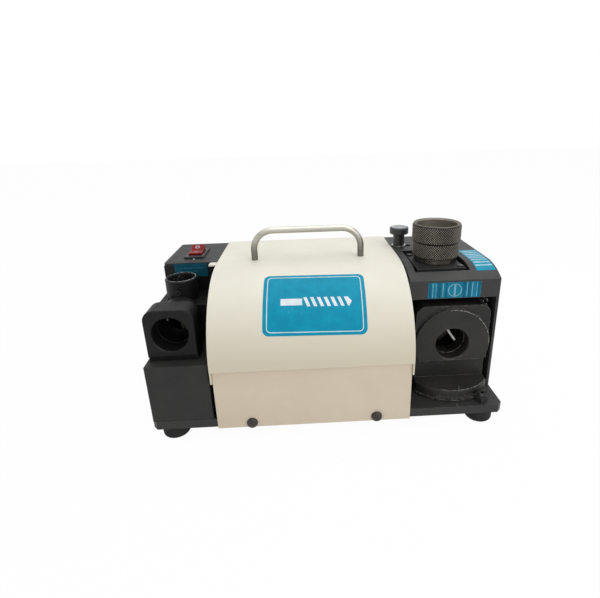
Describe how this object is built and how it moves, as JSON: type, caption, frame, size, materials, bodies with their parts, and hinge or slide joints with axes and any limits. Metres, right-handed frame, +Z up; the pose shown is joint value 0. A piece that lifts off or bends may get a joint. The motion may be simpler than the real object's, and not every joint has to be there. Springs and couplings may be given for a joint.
{
  "type": "drill bit sharpener",
  "caption": "Bench grinder that sharpens twist drills held in a collet chuck, with a swivelling cutting port, a relief port, a thinning port and a setting port.",
  "frame": {"origin": "on the table under the middle of the machine's outline", "axes": "+X along the spindle towards the cutting port, +Y to the back, +Z up"},
  "size_m": [0.324, 0.165, 0.1781],
  "materials": {
    "black_coat": "satin",
    "cream_coat": "satin",
    "aluminium": "satin",
    "knurled_steel": "knurled",
    "steel": "satin",
    "screw_steel": "satin",
    "rubber": "matte",
    "black_plastic": "matte",
    "grey_plastic": "matte",
    "red_plastic": "gloss",
    "copper": "satin",
    "abrasive": "rough"
  },
  "bodies": {
    "frame": {"apron_screws": "black_plastic", "base_plate": "black_coat", "carry_handle": "aluminium", "foot_screws": "screw_steel", "handle_screws": "screw_steel", "housing_screws": "screw_steel", "inlet_screws": "screw_steel", "left_end_bell": "aluminium", "left_front_box": "black_coat", "left_housing": "black_coat", "left_top_plate": "black_coat", "lift_frame": "black_coat", "lower_apron": "cream_coat", "motor_bearings": "steel", "motor_can": "steel", "motor_cradles": "steel", "motor_straps": "steel", "power_inlet": "black_plastic", "rear_panel": "black_coat", "rear_panel_screws": "screw_steel", "relief_index_pin": "steel", "relief_port_block": "black_coat", "right_end_bell": "aluminium", "right_housing": "black_coat", "rubber_feet": "rubber", "setting_bracket": "black_coat", "setting_cup": "black_coat", "setting_plate": "black_coat", "setting_plate_screws": "screw_steel", "start_capacitor": "steel", "stator_core": "steel", "stator_windings": "copper", "strap_screws": "screw_steel", "switch_body": "black_plastic", "swivel_clamp": "black_coat", "swivel_pivot_pin": "steel", "thinning_port_tube": "black_coat", "thinning_set_screw": "screw_steel", "upper_cover": "cream_coat"},
    "spindle": {"motor_shaft": "steel", "rotor_core": "steel", "cooling_fan": "aluminium", "wheel_spacers": "steel", "wheel_flanges": "steel", "left_wheel": "abrasive", "right_wheel": "abrasive", "wheel_nuts": "steel"},
    "swivel": {"swivel_table": "black_coat", "cutting_port_block": "black_coat", "cutting_index_pin": "steel", "port_block_screws": "screw_steel"},
    "lock_screw": {"swivel_lock_screw": "screw_steel"},
    "stop": {"setting_stop": "steel", "knob_washer": "steel"},
    "knob": {"thumb_knob": "black_plastic", "knob_cap": "grey_plastic"},
    "chuck": {"chuck_body": "knurled_steel", "chuck_collet": "steel"},
    "nut": {"chuck_nut": "knurled_steel"},
    "rocker": {"switch_rocker": "red_plastic"}
  },
  "joints": [
    {"name": "spindle_spin", "type": "hinge", "parent": "frame", "child": "spindle", "pos_m": [0, 0.021, 0.0756], "axis": [1, 0, 0], "continuous": true},
    {"name": "swivel_turn", "type": "hinge", "parent": "frame", "child": "swivel", "pos_m": [0.1206, -0.0263, 0.0204], "axis": [0, 0, 1], "range_deg": [-8, 4]},
    {"name": "lock_screw_turn", "type": "hinge", "parent": "frame", "child": "lock_screw", "pos_m": [0.14446, -0.07024, 0.0255], "axis": [0, 0, 1], "range_deg": [0, 360]},
    {"name": "stop_slide", "type": "slide", "parent": "frame", "child": "stop", "axis": [1, 0, 0], "range_m": [0, 0.008]},
    {"name": "knob_turn", "type": "hinge", "parent": "stop", "child": "knob", "pos_m": [0.086, 0.0406, 0.1466], "axis": [0, 0, 1], "range_deg": [0, 360]},
    {"name": "chuck_lift", "type": "slide", "parent": "frame", "child": "chuck", "axis": [0, 0, 1], "range_m": [0, 0.065]},
    {"name": "nut_turn", "type": "hinge", "parent": "chuck", "child": "nut", "pos_m": [0.1132, -0.002, 0.1616], "axis": [0, 0, 1], "range_deg": [0, 360]},
    {"name": "rocker_tilt", "type": "hinge", "parent": "frame", "child": "rocker", "pos_m": [-0.1323, 0.0378, 0.1431], "axis": [1, 0, 0], "range_deg": [-24, 0]}
  ]
}
